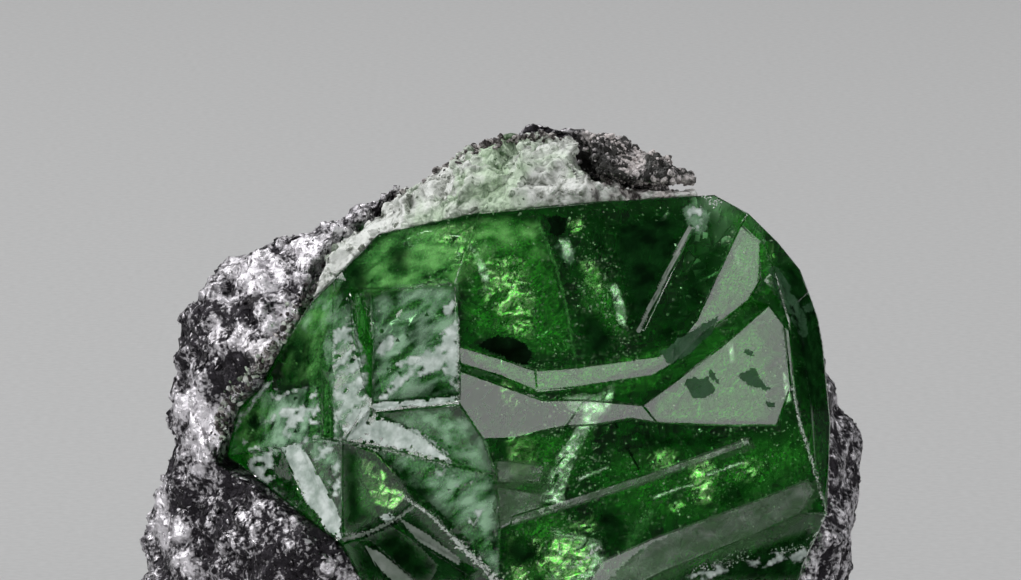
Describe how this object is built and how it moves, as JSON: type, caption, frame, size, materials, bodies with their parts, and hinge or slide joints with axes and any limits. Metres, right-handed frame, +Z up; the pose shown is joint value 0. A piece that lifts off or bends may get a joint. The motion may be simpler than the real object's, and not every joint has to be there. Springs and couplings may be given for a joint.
{
  "type": "garnet specimen in matrix",
  "caption": "Clear green garnet crystal with flat grown faces, standing in a lump of graphite rock with a pale quartz crust, resting on a flat broken base.",
  "frame": {"origin": "middle of the flat broken base that the specimen rests on", "axes": "+Z up, -Y towards the front where the garnet shows, +X to the right as seen from the front"},
  "size_m": [0.037, 0.0262, 0.0322],
  "materials": {
    "tsavorite_crystal": "clear green garnet with glossy grown faces and etched patches",
    "graphite_matrix": "dark grey flaky graphite with bright flakes",
    "quartz_rind": "pale green-grey granular quartz"
  },
  "bodies": {
    "root": {"tsavorite_crystal": "tsavorite_crystal", "graphite_matrix": "graphite_matrix", "quartz_rind": "quartz_rind"}
  },
  "joints": []
}
